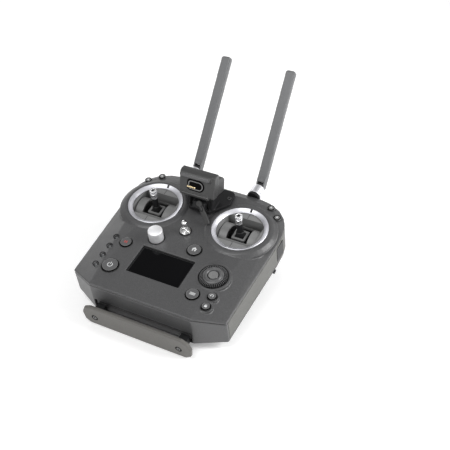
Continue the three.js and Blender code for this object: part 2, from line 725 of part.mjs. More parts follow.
piece(
  "lock_lever",
  union(
    cylinder("z", 3.3, -1.4, 1.7, 0, 0, 16),
    hull(
      [-1.1, 1.1].flatMap((z) => [
        [0, -2.4, z], [0, 2.4, z], [LOCK.length, -3, z], [LOCK.length + 1.5, 1.8, z], [LOCK.length - 2, 3, z],
      ]),
    ),
  ),
  MATERIAL.black,
  lever,
);

const transmitter = new THREE.Group();
transmitter.add(panel);
export default transmitter;
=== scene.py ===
import json
import math

import bmesh
import bpy
from mathutils import Matrix, Vector


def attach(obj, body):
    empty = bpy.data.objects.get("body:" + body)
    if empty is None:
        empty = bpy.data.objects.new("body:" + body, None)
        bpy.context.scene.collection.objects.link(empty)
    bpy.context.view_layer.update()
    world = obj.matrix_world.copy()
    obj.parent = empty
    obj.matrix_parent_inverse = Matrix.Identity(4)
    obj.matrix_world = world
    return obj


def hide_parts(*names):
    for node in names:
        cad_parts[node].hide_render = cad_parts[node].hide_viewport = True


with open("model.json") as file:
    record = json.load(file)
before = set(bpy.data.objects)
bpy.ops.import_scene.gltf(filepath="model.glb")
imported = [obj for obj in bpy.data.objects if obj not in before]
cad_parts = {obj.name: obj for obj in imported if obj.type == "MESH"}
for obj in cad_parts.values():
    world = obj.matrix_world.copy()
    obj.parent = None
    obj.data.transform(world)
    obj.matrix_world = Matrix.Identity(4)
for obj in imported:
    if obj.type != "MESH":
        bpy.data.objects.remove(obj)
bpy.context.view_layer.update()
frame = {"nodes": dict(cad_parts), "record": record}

# The control panel's own frame, which every added piece is drawn in, in millimetres: z = 0 is the flat
# middle of the panel, y = 0 is the line through the sticks, and the panel is tilted up towards the back.
PANEL = Matrix.Translation((0, -0.0132, 0.0757)) @ Matrix.Rotation(math.radians(10.8), 4, "X")
MM = Matrix.Scale(0.001, 4)
TO_PANEL = (PANEL @ MM).inverted()
SIDES = (("left", -1), ("right", 1))


def span(node):
    """Lowest and highest corner of a CAD node in the panel's frame, in millimetres."""
    points = [TO_PANEL @ v.co for v in frame["nodes"][node].data.vertices]
    low = Vector([min(p[i] for p in points) for i in range(3)])
    high = Vector([max(p[i] for p in points) for i in range(3)])
    return low, high


def top_centre(node):
    """The middle of a CAD node's top."""
    low, high = span(node)
    return Vector(((low.x + high.x) / 2, (low.y + high.y) / 2, high.z))


def placed(x, y, z, *turns):
    """A frame at a point of the panel's frame (millimetres), turned by (axis, degrees) pairs in order."""
    matrix = PANEL @ Matrix.Translation(Vector((x, y, z)) * 0.001)
    for axis, degrees in turns:
        matrix = matrix @ Matrix.Rotation(math.radians(degrees), 4, axis)
    return matrix


# Camera -------------------------------------------------------------------------------------------
LENS = 65.05
AZIMUTH, ELEVATION, ROLL = math.radians(26.75), math.radians(36.44), math.radians(0.29)
EYE = Vector((0.36673, -0.66963, 0.61842))


def make_camera():
    """The camera at the eye point, turned by its azimuth, elevation and roll."""
    right = Vector((math.cos(AZIMUTH), math.sin(AZIMUTH), 0))
    back = Vector((
        math.sin(AZIMUTH) * math.cos(ELEVATION),
        -math.cos(AZIMUTH) * math.cos(ELEVATION),
        math.sin(ELEVATION),
    ))
    up = back.cross(right)
    across = math.cos(ROLL) * right + math.sin(ROLL) * up
    upright = math.cos(ROLL) * up - math.sin(ROLL) * right
    data = bpy.data.cameras.new("camera")
    data.lens = LENS
    data.sensor_width = 36
    camera = bpy.data.objects.new("camera", data)
    turn = Matrix((across, upright, back)).transposed().to_4x4()
    camera.matrix_world = Matrix.Translation(EYE) @ turn
    bpy.context.collection.objects.link(camera)
    bpy.context.scene.camera = camera


make_camera()


# Materials ----------------------------------------------------------------------------------------
class Nodes:
    """A material's node tree with short calls to add and join nodes."""

    def __init__(self, name):
        self.material = bpy.data.materials.new(name)
        self.material.use_nodes = True
        self.tree = self.material.node_tree
        self.shader = self.tree.nodes["Principled BSDF"]

    def add(self, kind, **settings):
        node = self.tree.nodes.new(kind)
        for key, value in settings.items():
            if key in node.inputs:
                node.inputs[key].default_value = value
            else:
                setattr(node, key, value)
        return node

    def join(self, source, target):
        self.tree.links.new(source, target)

    def noise(self, scale, detail=2.0):
        """A noise pattern in object space; scale is in cycles per metre."""
        place = self.add("ShaderNodeTexCoord").outputs["Object"]
        texture = self.add("ShaderNodeTexNoise", Scale=scale, Detail=detail)
        self.join(place, texture.inputs["Vector"])
        return texture.outputs["Fac"]

    def ramp(self, source, low, high, start=0.3, end=0.7):
        node = self.add("ShaderNodeValToRGB")
        node.color_ramp.elements[0].position = start
        node.color_ramp.elements[1].position = end
        node.color_ramp.elements[0].color = low
        node.color_ramp.elements[1].color = high
        self.join(source, node.inputs["Fac"])
        return node.outputs["Color"]

    def between(self, source, low, high):
        node = self.add("ShaderNodeMapRange")
        node.inputs["To Min"].default_value = low
        node.inputs["To Max"].default_value = high
        self.join(source, node.inputs["Value"])
        return node.outputs["Result"]

    def relief(self, height, strength, distance, edge):
        """Surface relief over slightly rounded edges."""
        bump = self.add("ShaderNodeBump", Strength=strength, Distance=distance)
        self.join(height, bump.inputs["Height"])
        if edge:
            rounded = self.add("ShaderNodeBevel", samples=6)
            rounded.inputs["Radius"].default_value = edge
            self.join(rounded.outputs["Normal"], bump.inputs["Normal"])
        self.join(bump.outputs["Normal"], self.shader.inputs["Normal"])


# Sizes of the surface patterns, in cycles per metre.
FINE_GRAIN, CLOUDS, GLOSS_PATCHES = 1500, 420, 60


def shade(colour, factor):
    """A colour made lighter or darker, with its alpha."""
    return tuple(min(1, c * factor) for c in colour) + (1,)


def plastic(name, colour, rough, grain=0.35, edge=0.0005, speckle=0.1, shine=0.5):
    """Moulded plastic: spark-eroded grain, speckle and cloudy gloss."""
    n = Nodes(name)
    fine = n.noise(FINE_GRAIN, 3)
    cloud = n.noise(CLOUDS, 2)
    mixed = n.add("ShaderNodeMix", data_type="RGBA", blend_type="MULTIPLY")
    mixed.inputs["Factor"].default_value = 1
    n.join(n.ramp(fine, shade(colour, 1 - speckle), shade(colour, 1 + speckle)), mixed.inputs["A"])
    n.join(n.ramp(cloud, shade((1, 1, 1), 1 - 0.4 * speckle), (1, 1, 1, 1)), mixed.inputs["B"])
    n.join(mixed.outputs["Result"], n.shader.inputs["Base Color"])
    n.join(n.between(n.noise(GLOSS_PATCHES, 4), rough - 0.05, rough + 0.06), n.shader.inputs["Roughness"])
    n.shader.inputs["Specular IOR Level"].default_value = shine
    n.relief(fine, grain, 0.00012, edge)
    return n.material


def rubber(name, colour, rough):
    """Dull rubber with a fine dotted grip."""
    n = Nodes(name)
    dots = n.add("ShaderNodeTexVoronoi", Scale=900)
    n.join(n.add("ShaderNodeTexCoord").outputs["Object"], dots.inputs["Vector"])
    tone = n.ramp(n.noise(700, 3), shade(colour, 0.85), shade(colour, 1.15))
    n.join(tone, n.shader.inputs["Base Color"])
    n.join(n.between(n.noise(90, 3), rough - 0.06, rough + 0.06), n.shader.inputs["Roughness"])
    n.shader.inputs["Sheen Weight"].default_value = 0.15
    n.relief(dots.outputs["Distance"], 0.25, 0.0002, 0.0006)
    return n.material


def metal(name, colour, rough, grain=0.02, edge=0.0003, black_beyond=None):
    """Satin or polished metal, which turns black past black_beyond along the panel's y axis."""
    n = Nodes(name)
    tone = n.ramp(n.noise(150, 3), shade(colour, 0.95), shade(colour, 1.03))
    gloss = n.between(n.noise(900, 2), rough - 0.03, rough + 0.05)
    if black_beyond is None:
        n.shader.inputs["Metallic"].default_value = 1
        n.join(tone, n.shader.inputs["Base Color"])
    else:
        along = n.add("ShaderNodeVectorMath", operation="DOT_PRODUCT")
        along.inputs[1].default_value = PANEL.to_3x3().col[1]
        n.join(n.add("ShaderNodeTexCoord").outputs["Object"], along.inputs[0])
        mask = n.add("ShaderNodeMapRange")
        mask.inputs["From Min"].default_value = black_beyond
        mask.inputs["From Max"].default_value = black_beyond + 0.0002
        mask.inputs["To Min"].default_value = 1
        mask.inputs["To Max"].default_value = 0
        n.join(along.outputs["Value"], mask.inputs["Value"])
        mixed = n.add("ShaderNodeMix", data_type="RGBA")
        mixed.inputs["A"].default_value = (0.02, 0.02, 0.021, 1)
        n.join(mask.outputs["Result"], mixed.inputs["Factor"])
        n.join(tone, mixed.inputs["B"])
        n.join(mixed.outputs["Result"], n.shader.inputs["Base Color"])
        n.join(mask.outputs["Result"], n.shader.inputs["Metallic"])
    n.join(gloss, n.shader.inputs["Roughness"])
    n.relief(n.noise(3000, 2), grain, 0.00003, edge)
    return n.material


def glossy(name, colour, rough, shine=0.5):
    """Glass or a clear lens, seen as one dark glossy face."""
    n = Nodes(name)
    n.join(n.ramp(n.noise(16, 2), shade(colour, 0.8), shade(colour, 1.2)), n.shader.inputs["Base Color"])
    n.join(n.between(n.noise(220, 4), rough, rough + 0.05), n.shader.inputs["Roughness"])
    n.shader.inputs["Specular IOR Level"].default_value = shine
    return n.material


def printed(name, colour, painted_glow=0.0):
    """Ink on a button, with a faint painted glow: emission though nothing lights the ink from inside."""
    n = Nodes(name)
    n.join(n.ramp(n.noise(4000, 2), shade(colour, 0.85), shade(colour, 1)), n.shader.inputs["Base Color"])
    n.shader.inputs["Roughness"].default_value = 0.5
    n.shader.inputs["Emission Color"].default_value = shade(colour, 1)
    n.shader.inputs["Emission Strength"].default_value = painted_glow
    return n.material


def circuit(name):
    """A circuit board's green lacquer with paler tracks."""
    n = Nodes(name)
    cells = n.add("ShaderNodeTexVoronoi", Scale=260, feature="DISTANCE_TO_EDGE")
    n.join(n.add("ShaderNodeTexCoord").outputs["Object"], cells.inputs["Vector"])
    tracks = n.ramp(cells.outputs["Distance"], (0.03, 0.2, 0.1, 1), (0.01, 0.09, 0.045, 1), 0.03, 0.06)
    n.join(tracks, n.shader.inputs["Base Color"])
    n.shader.inputs["Roughness"].default_value = 0.35
    return n.material


SHELL = plastic("shell_plastic", (0.064, 0.064, 0.0655), 0.38, grain=0.6, speckle=0.28, shine=0.6)
PLATE = plastic("plate_plastic", (0.112, 0.108, 0.1), 0.5, grain=0.4, speckle=0.15)
SIDE = plastic("side_plastic", (0.125, 0.125, 0.117), 0.6, grain=0.5, speckle=0.18)
# Black plastic; it also paints shade as flat black shapes in the status lights' dimples and the lock
# lever's slot.
BLACK_PLASTIC_AND_SHADE = plastic("black_plastic", (0.014, 0.014, 0.015), 0.45, speckle=0.05, edge=0.0003, shine=0.25)
# Near-black, almost unreflecting plastic: the wheel's real black band, and painted shade where it fills
# gaps, recesses and wells.
BLACK_AND_GAP_SHADE = plastic("black_and_gap_shade", (0.003, 0.003, 0.003), 0.7, speckle=0.05, edge=0, shine=0.05)
TRAY = plastic("tray_plastic", (0.055, 0.055, 0.056), 0.36, speckle=0.08, edge=0.0003)
GIMBAL = plastic("gimbal_plastic", (0.185, 0.186, 0.185), 0.42, edge=0.0003)
HEAD = plastic("head_plastic", (0.042, 0.042, 0.042), 0.3)
BLADE = plastic("blade_plastic", (0.13, 0.132, 0.136), 0.45, grain=0.2)
# Button grey; it also serves as painted highlight on the brow bar and the wheel's teeth.
BUTTON_GREY_AND_HIGHLIGHT = plastic("button_plastic", (0.095, 0.095, 0.097), 0.3, grain=0.15, edge=0.0004)
CAP = plastic("cap_plastic", (0.17, 0.17, 0.17), 0.26, grain=0.1, edge=0.0003)
RUBBER = rubber("rubber", (0.02, 0.02, 0.021), 0.8)
SILVER = metal("satin_metal", (0.72, 0.72, 0.76), 0.46)
KNOB_METAL = metal("blasted_metal", (0.96, 0.96, 0.98), 0.6)
TIP_METAL = metal("knurled_metal", (0.9, 0.9, 0.91), 0.26)
COLLAR_METAL = metal("collar_metal", (0.8, 0.8, 0.83), 0.42, black_beyond=0.0768)
CHROME = metal("chrome", (0.92, 0.92, 0.92), 0.16)
GOLD = metal("contact_metal", (0.95, 0.78, 0.48), 0.3)
GLASS = glossy("screen_glass", (0.003, 0.003, 0.0035), 0.1, 0.08)
LENS_GREY = glossy("light_lens", (0.16, 0.165, 0.17), 0.15)
BOARD = circuit("circuit_board")
# White ink for the legends and ring dots, also used for the painted highlights on the lights and corner
# caps; both inks carry a faint painted glow.
WHITE_INK_AND_HIGHLIGHT = printed("white_ink_and_highlight", (0.62, 0.63, 0.63), 0.08)
RED = printed("red_print", (0.5, 0.05, 0.04), 0.08)

MATERIALS = {
    "shell": SHELL,
    "side_rubber": SIDE,
    "rubber": RUBBER,
    "black_plastic": BLACK_PLASTIC_AND_SHADE,
    "head_plastic": HEAD,
    "antenna_plastic": BLADE,
    "button_plastic": BUTTON_GREY_AND_HIGHLIGHT,
    "silver": SILVER,
    "chrome": CHROME,
    "screen_glass": GLASS,
    "board": BOARD,
    "contact": GOLD,
    "light_pipe": LENS_GREY,
}
SLOT_OF = {s["node"]: s["material_slot"] for s in frame["record"]["subparts"]}
BODY_OF = {node: body for body, nodes in frame["record"]["behaviour"]["bodies"].items() for node in nodes}


# Finish of the CAD nodes --------------------------------------------------------------------------
FACET_ANGLE = math.radians(24)


def finish_node(name, node):
    """Gives a CAD node its material, and smooth shading between its flat faces."""
    if name.startswith("gimbal_"):
        material = GIMBAL
    elif name == "front_grille":
        material = TRAY
    else:
        material = MATERIALS[SLOT_OF[name]]
    node.data.materials.clear()
    node.data.materials.append(material)
    for face in node.data.polygons:
        face.use_smooth = True
    weld = node.modifiers.new("weld", "WELD")
    weld.merge_threshold = 1e-6
    edges = node.modifiers.new("edges", "EDGE_SPLIT")
    edges.split_angle = FACET_ANGLE


for name, node in frame["nodes"].items():
    finish_node(name, node)


# Mesh helpers -------------------------------------------------------------------------------------
def piece(name, mesh, body, material, matrix=PANEL, bevel=0.0, angle=35):
    """Turns a bmesh in millimetres into a named piece that rides on a body."""
    bmesh.ops.recalc_face_normals(mesh, faces=mesh.faces)
    mesh.transform(matrix @ MM)
    data = bpy.data.meshes.new(name)
    mesh.to_mesh(data)
    mesh.free()
    data.materials.append(material)
    for face in data.polygons:
        face.use_smooth = True
    made = bpy.data.objects.new(name, data)
    bpy.context.collection.objects.link(made)
    if bevel:
        rounding = made.modifiers.new("rounding", "BEVEL")
        rounding.width = bevel * 0.001
        rounding.segments = 2
        rounding.limit_method = "ANGLE"
        rounding.angle_limit = math.radians(angle)
        rounding.harden_normals = True
    else:
        edges = made.modifiers.new("edges", "EDGE_SPLIT")
        edges.split_angle = math.radians(angle)
    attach(made, body)
    return made


def turned(profile, segments=48, centre=(0, 0), flutes=0, depth=()):
    """A closed body of revolution about Z; where depth is given, its flutes cut that far into it."""
    mesh = bmesh.new()
    rings = []
    cuts = list(depth) or [0] * len(profile)
    for (radius, z), cut in zip(profile, cuts):
        ring = []
        for i in range(segments):
            a = 2 * math.pi * i / segments
            r = radius - cut * (0.5 + 0.5 * math.cos(flutes * a))
            ring.append(mesh.verts.new((centre[0] + r * math.cos(a), centre[1] + r * math.sin(a), z)))
        rings.append(ring)
    for low, high in zip(rings, rings[1:]):
        for i in range(segments):
            j = (i + 1) % segments
            mesh.faces.new((low[i], low[j], high[j], high[i]))
    if profile[0][0] == profile[-1][0] and profile[0][1] == profile[-1][1]:
        bmesh.ops.remove_doubles(mesh, verts=rings[0] + rings[-1], dist=1e-5)
    else:
        mesh.faces.new(rings[0])
        mesh.faces.new(rings[-1])
    return mesh


def slab(outline, z0, z1):
    """A flat plate over an outline of (x, y) points."""
    mesh = bmesh.new()
    low = [mesh.verts.new((x, y, z0)) for x, y in outline]
    high = [mesh.verts.new((x, y, z1)) for x, y in outline]
    mesh.faces.new(low)
    mesh.faces.new(high)
    for i in range(len(outline)):
        j = (i + 1) % len(outline)
        mesh.faces.new((low[i], low[j], high[j], high[i]))
    return mesh


def arc(cx, cy, r, start, end, steps):
    """Points on an arc, with the angles in degrees."""
    turns = [math.radians(start + (end - start) * i / steps) for i in range(steps + 1)]
    return [(cx + r * math.cos(a), cy + r * math.sin(a)) for a in turns]


def rounded_rectangle(x0, x1, y0, y1, r, steps=5):
    """An outline with four round corners."""
    return (
        arc(x1 - r, y0 + r, r, -90, 0, steps)
        + arc(x1 - r, y1 - r, r, 0, 90, steps)
        + arc(x0 + r, y1 - r, r, 90, 180, steps)
        + arc(x0 + r, y0 + r, r, 180, 270, steps)
    )


def band(outer, inner, z0, z1):
    """A flat frame between two outlines with the same number of points."""
    mesh = bmesh.new()
    loops = [
        [mesh.verts.new((x, y, z)) for x, y in points]
        for points, z in ((outer, z0), (outer, z1), (inner, z1), (inner, z0))
    ]
    for a, b in zip(loops, loops[1:] + loops[:1]):
        for i in range(len(outer)):
            j = (i + 1) % len(outer)
            mesh.faces.new((a[i], a[j], b[j], b[i]))
    return mesh


def arc_band(cx, cy, r0, r1, start, end, z0, z1, steps=24):
    """A flat stretch of a ring between two radii, with the angles in degrees."""
    return slab(arc(cx, cy, r1, start, end, steps) + arc(cx, cy, r0, end, start, steps), z0, z1)


def bar(cx, cy, length, width, angle, z0, z1, steps=6):
    """A straight stroke with round ends."""
    turn = math.degrees(angle)
    ux, uy = math.cos(angle), math.sin(angle)
    half = length / 2 - width / 2
    ends = arc(cx + ux * half, cy + uy * half, width / 2, turn - 90, turn + 90, steps)
    ends += arc(cx - ux * half, cy - uy * half, width / 2, turn + 90, turn + 270, steps)
    return slab(ends, z0, z1)


def merged(*meshes):
    """Several bmeshes put into the first one."""
    joined = meshes[0]
    for other in meshes[1:]:
        data = bpy.data.meshes.new("part")
        other.to_mesh(data)
        other.free()
        joined.from_mesh(data)
        bpy.data.meshes.remove(data)
    return joined


def softened(node, voxel, passes, material):
    """A copy of a CAD node with soft moulded edges, which takes the node's place."""
    source = frame["nodes"][node]
    made = bpy.data.objects.new(node + "_moulded", source.data.copy())
    bpy.context.collection.objects.link(made)
    weld = made.modifiers.new("weld", "WELD")
    weld.merge_threshold = 1e-6
    remesh = made.modifiers.new("remesh", "REMESH")
    remesh.mode = "VOXEL"
    remesh.voxel_size = voxel * 0.001
    remesh.use_smooth_shade = True
    smooth = made.modifiers.new("smooth", "SMOOTH")
    smooth.factor = 0.5
    smooth.iterations = passes
    made.data.materials.clear()
    made.data.materials.append(material)
    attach(made, BODY_OF[node])
    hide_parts(node)
    return made


# Moulded shells -----------------------------------------------------------------------------------
softened("top_cover", 0.55, 3, SHELL)
softened("bottom_housing", 0.8, 3, SHELL)
softened("front_plate", 0.55, 4, PLATE)
softened("mount_head", 0.45, 4, HEAD)
softened("mount_foot", 0.45, 4, BLACK_PLASTIC_AND_SHADE)
softened("lock_lever", 0.3, 4, HEAD)
for side, _ in SIDES:
    softened(f"grip_{side}", 1.5, 16, RUBBER)
    softened(f"antenna_blade_{side}", 0.45, 4, BLADE)
    softened(f"antenna_collar_{side}", 0.35, 3, COLLAR_METAL)

# Sticks -------------------------------------------------------------------------------------------
RING_OPENING, RING_CREST, RING_FOOT = 27, 31.8, -1.2
RING_SLOPE = math.degrees(math.atan2(2.35, 4.1))
TICK_RADIUS, TICK_HEIGHT, DOT_RADIUS, DOT_SIZE = 29.9, 1.15, 31.5, 0.9
SEAM_START, SEAM_END, SEAM_HALF_WIDTH = 19.3, 26.9, 0.25
# The rocker's collar: half sizes outside and inside, and its lower and upper height.
COLLAR_OUTSIDE, COLLAR_INSIDE, COLLAR_HEIGHTS = (8.2, 7.6), (5.4, 5), (-11.4, -8.6)
TIP_BORE, TIP_FLUTES = 2.15, 16
# The knurled tip: (radius, height, depth of the knurls) from its foot to its top and down its bore.
TIP_PROFILE = (
    (TIP_BORE, 0, 0), (3.6, 0, 0), (4.05, 0.5, 0.1), (4.1, 0.9, 0.35), (4.1, 6.4, 0.35), (4.05, 6.7, 0.1),
    (3.55, 7, 0), (3.55, 7.6, 0), (4.15, 8, 0.1), (4.2, 8.4, 0.5), (4.2, 11.1, 0.5), (4.05, 11.8, 0.6),
    (3.6, 12.5, 0.9), (2.9, 12.5, 0.6), (2.5, 11.7, 0), (TIP_BORE, 11.4, 0), (TIP_BORE, 0, 0),
)


def middle_of(node):
    """The middle of a CAD node in the panel's plane, and its radius."""
    low, high = span(node)
    return (low.x + high.x) / 2, (low.y + high.y) / 2, (high.x - low.x) / 2


for side, _ in SIDES:
    cx, cy, r = middle_of(f"stick_ring_{side}")
    # The ring's face slopes down to its opening; a black tick marks its back and a white dot its front.
    ring = turned(
        [(RING_OPENING, RING_FOOT), (RING_OPENING, -0.7), (RING_OPENING + 0.2, -0.4),
         (RING_CREST - 0.5, 1.95), (RING_CREST, 2.15), (r - 0.3, 2.0), (r, 1.6), (r, RING_FOOT),
         (RING_OPENING, RING_FOOT)],
        144, (cx, cy),
    )
    made = piece(f"ring_face_{side}", ring, "housing", SILVER, angle=30)
    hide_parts(f"stick_ring_{side}")
    tick = slab(rounded_rectangle(-1.3, 1.3, -1.9, 2.1, 0.2), -0.2, 0.12)
    piece(f"ring_tick_{side}", tick, "housing", BLACK_PLASTIC_AND_SHADE,
          matrix=placed(cx, cy + TICK_RADIUS, TICK_HEIGHT, ("X", RING_SLOPE)))
    dot = slab(arc(cx, cy - DOT_RADIUS, DOT_SIZE, 0, 345, 23), 1.9, 2.3)
    piece(f"ring_dot_{side}", dot, "housing", WHITE_INK_AND_HIGHLIGHT)
    # The face plate's two halves meet in front of and behind the stick.
    face_top = span(f"gimbal_case_{side}")[1].z
    seam_ends = (("front", cy - SEAM_END, cy - SEAM_START), ("rear", cy + SEAM_START, cy + SEAM_END))
    for end, y0, y1 in seam_ends:
        outline = rounded_rectangle(cx - SEAM_HALF_WIDTH, cx + SEAM_HALF_WIDTH, y0, y1, 0.1)
        seam = slab(outline, face_top - 0.1, face_top + 0.05)
        piece(f"gimbal_seam_{side}_{end}", seam, "housing", BLACK_PLASTIC_AND_SHADE)
    # The rocker's square collar and the boot round the shaft's foot, which move with the stick.
    outside, inside = (
        rounded_rectangle(cx - x, cx + x, cy - y, cy + y, 1) for x, y in (COLLAR_OUTSIDE, COLLAR_INSIDE)
    )
    collar = band(outside, inside, *COLLAR_HEIGHTS)
    piece(f"stick_collar_{side}", collar, f"stick_{side}", GIMBAL, bevel=0.3)
    boot = turned(
        [(3.3, -9), (5.2, -9), (4.9, -5.5), (4.5, -3.8), (4.5, -2.9), (3.9, -2.4), (3.3, -2.4),
         (3.3, -9)],
        40, (cx, cy),
    )
    piece(f"stick_boot_{side}", boot, f"stick_{side}", BLACK_PLASTIC_AND_SHADE)
    # The knurled two-part tip, with a small crown of points round its hollow top.
    cx, cy, _ = middle_of(f"stick_tip_{side}")
    foot = span(f"stick_tip_{side}")[0].z
    tip = turned(
        [(radius, foot + z) for radius, z, _ in TIP_PROFILE], 96, (cx, cy), TIP_FLUTES,
        [depth for _, _, depth in TIP_PROFILE],
    )
    made = piece(f"knurled_tip_{side}", tip, f"stick_{side}", TIP_METAL, angle=40)
    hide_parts(f"stick_tip_{side}")

# Dials --------------------------------------------------------------------------------------------
TEETH, TOOTH_WIDTH = 44, 0.75
# Two rows of teeth, on the wheel's top and on its side: middle radius, length, lower and upper height.
TOOTH_ROWS = ((13, 2.7, 1.2, 2.2), (14.8, 1.2, -1.6, 1.3))
DISH_BORE, DISH_RADIUS = 6.4, 11.4
KNOB_RADIUS = 8.3
DIAL_RIM, DIAL_FLUTES, FLUTE_DEPTH = 4, 40, 0.5
c = top_centre("selection_wheel")
wheel = turned(
    [(6.3, -2.1), (14, -2.1), (14.5, -1.5), (14.5, 0.9), (14, 1.6), (12.6, 1.8), (6.3, 1.8), (6.3, -2.1)],
    96, (c.x, c.y),
)
made = piece("wheel_body", wheel, "selection_wheel", BLACK_AND_GAP_SHADE)
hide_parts("selection_wheel")
lit_teeth = []
for i in range(TEETH):
    turn = 2 * math.pi * i / TEETH
    for radius, length, z0, z1 in TOOTH_ROWS:
        x, y = c.x + radius * math.cos(turn), c.y + radius * math.sin(turn)
        lit_teeth.append(bar(x, y, length, TOOTH_WIDTH, turn, z0, z1, 3))
# Painted highlight: the teeth are a lighter grey than the black wheel, standing for the glints along its
# knurl.
piece("wheel_lit_teeth", merged(*lit_teeth), "selection_wheel", BUTTON_GREY_AND_HIGHLIGHT)
dish = turned(
    [(DISH_BORE, 1.7), (DISH_RADIUS, 1.7), (DISH_RADIUS, 2.3), (11, 2.6), (10.2, 2.8), (9.8, 2.6),
     (9.4, 3.2), (8.9, 3.75), (7.6, 3.85), (6.9, 3.4), (DISH_BORE, 2.7), (DISH_BORE, 1.7)],
    96, (c.x, c.y),
)
piece("wheel_dish", dish, "selection_wheel", BUTTON_GREY_AND_HIGHLIGHT, angle=25)
surround = turned(
    [(16.6, -0.1), (18.9, -0.1), (18.9, 0.05), (18.2, 0.35), (17, 0.35), (16.6, -0.1)], 96, (c.x, c.y),
)
piece("wheel_surround", surround, "housing", SHELL)
top = span("wheel_button")[1].z
cap = turned(
    [(5.3, top - 0.4), (5.3, top + 0.05), (4.9, top + 0.3), (3.8, top + 0.1), (0.4, top)], 48, (c.x, c.y),
)
piece("wheel_button_cap", cap, "wheel_button", CAP)

c = top_centre("exposure_knob")
knob = turned(
    [(KNOB_RADIUS - 0.4, 0.1), (KNOB_RADIUS, 0.3), (KNOB_RADIUS, 0.9), (KNOB_RADIUS, c.z - 0.9),
     (8.15, c.z - 0.35), (7.7, c.z), (0.4, c.z)],
    144, (c.x, c.y),
)
made = piece("knob_grip", knob, "exposure_knob", KNOB_METAL, angle=50)
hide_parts("exposure_knob")
washer = turned([(8.7, -0.2), (10, -0.2), (10, 0.06), (8.7, 0.06), (8.7, -0.2)], 72, (c.x, c.y))
piece("knob_washer", washer, "housing", BLACK_PLASTIC_AND_SHADE)
for side, _ in SIDES:
    cx, cy, r = middle_of(f"rear_dial_{side}")
    z0, z1 = (corner.z for corner in span(f"rear_dial_{side}"))
    dial = turned(
        [(2, z0), (2, z0 + DIAL_RIM), (r - 0.8, z0 + DIAL_RIM), (r, z0 + 4.6), (r, z1 - 4.6),
         (r - 0.8, z1 - DIAL_RIM), (2, z1 - DIAL_RIM), (2, z1)],
        240, (cx, cy), DIAL_FLUTES, [0, 0, 0, FLUTE_DEPTH, FLUTE_DEPTH, 0, 0, 0],
    )
    made = piece(f"fluted_dial_{side}", dial, f"rear_dial_{side}", RUBBER, angle=40)
    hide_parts(f"rear_dial_{side}")

# Toggle: a chrome bat on a six-sided nut and a black washer ---------------------------------------
TOGGLE_BORE, NUT_RADIUS = 3.4, 6.1
c = top_centre("toggle_lever")
bat = turned(
    [(0.3, -7), (1.3, -7), (1.3, -2), (2.2, 0), (1.7, 3), (1.8, 5), (2.4, 7), (3, 10), (3.25, 12.5),
     (3.2, 14.2), (2.8, 15.5), (1.9, 16.3), (0.8, c.z)],
    48, (c.x, c.y),
)
made = piece("toggle_bat", bat, "toggle_lever", CHROME, angle=60)
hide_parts("toggle_lever")
nut = slab(arc(c.x, c.y, NUT_RADIUS, 0, 300, 5), 0.5, 2.5)
sleeve = turned(
    [(TOGGLE_BORE, 0.5), (4.6, 0.5), (4.6, 4.2), (4.3, 4.6), (TOGGLE_BORE, 4.6), (TOGGLE_BORE, 0.5)],
    48, (c.x, c.y),
)
piece("toggle_nut", merged(nut, sleeve), "housing", CHROME, bevel=0.3)
washer = turned(
    [(TOGGLE_BORE, -0.1), (7.4, -0.1), (7.4, 0.45), (7.1, 0.6), (TOGGLE_BORE, 0.6), (TOGGLE_BORE, -0.1)],
    56, (c.x, c.y),
)
piece("toggle_washer", washer, "housing", BLACK_PLASTIC_AND_SHADE)

# Legends on the buttons, which move with them -----------------------------------------------------
LEGEND = 0.07


def legend(name, button, mesh_of, material=WHITE_INK_AND_HIGHLIGHT):
    """A symbol on a button's top; mesh_of draws it round (x, y) between two heights."""
    c = top_centre(button)
    mesh = mesh_of(c.x, c.y, c.z - 0.35, c.z + LEGEND)
    piece(name, mesh, button, material)


legend("power_symbol", "power_button", lambda x, y, z0, z1: merged(
    arc_band(x, y, 2.4, 3.1, 125, 415, z0, z1), bar(x, y + 2.3, 3.2, 0.7, math.pi / 2, z0, z1)))
legend("pause_symbol", "pause_button", lambda x, y, z0, z1: merged(
    bar(x - 1.1, y, 3.6, 0.9, math.pi / 2, z0, z1), bar(x + 1.1, y, 3.6, 0.9, math.pi / 2, z0, z1)), RED)
legend("menu_symbol", "menu_button", lambda x, y, z0, z1: merged(
    *[bar(x, y + d, 6.4, 0.6, 0, z0, z1) for d in (-1.2, 0, 1.2)]))
legend("home_symbol", "home_button", lambda x, y, z0, z1: merged(
    slab([(x, y + 3), (x - 3.2, y + 0.4), (x + 3.2, y + 0.4)], z0, z1),
    slab([(x - 2.1, y + 0.2), (x - 2.1, y - 2.4), (x - 0.7, y - 2.4), (x - 0.7, y + 0.2)], z0, z1),
    slab([(x + 0.7, y + 0.2), (x + 0.7, y - 2.4), (x + 2.1, y - 2.4), (x + 2.1, y + 0.2)], z0, z1)))
legend("back_symbol", "back_button", lambda x, y, z0, z1: merged(
    arc_band(x, y, 1.2, 1.8, -60, 200, z0, z1, 14),
    slab([(x - 2.6, y + 0.1), (x - 0.6, y + 0.1), (x - 1.6, y - 1.5)], z0, z1)))
legend("lock_symbol", "lock_button", lambda x, y, z0, z1: merged(
    slab(rounded_rectangle(x - 1.5, x + 1.5, y - 1.8, y + 0.4, 0.3), z0, z1),
    arc_band(x, y + 0.4, 0.7, 1.2, 0, 180, z0, z1, 12)))

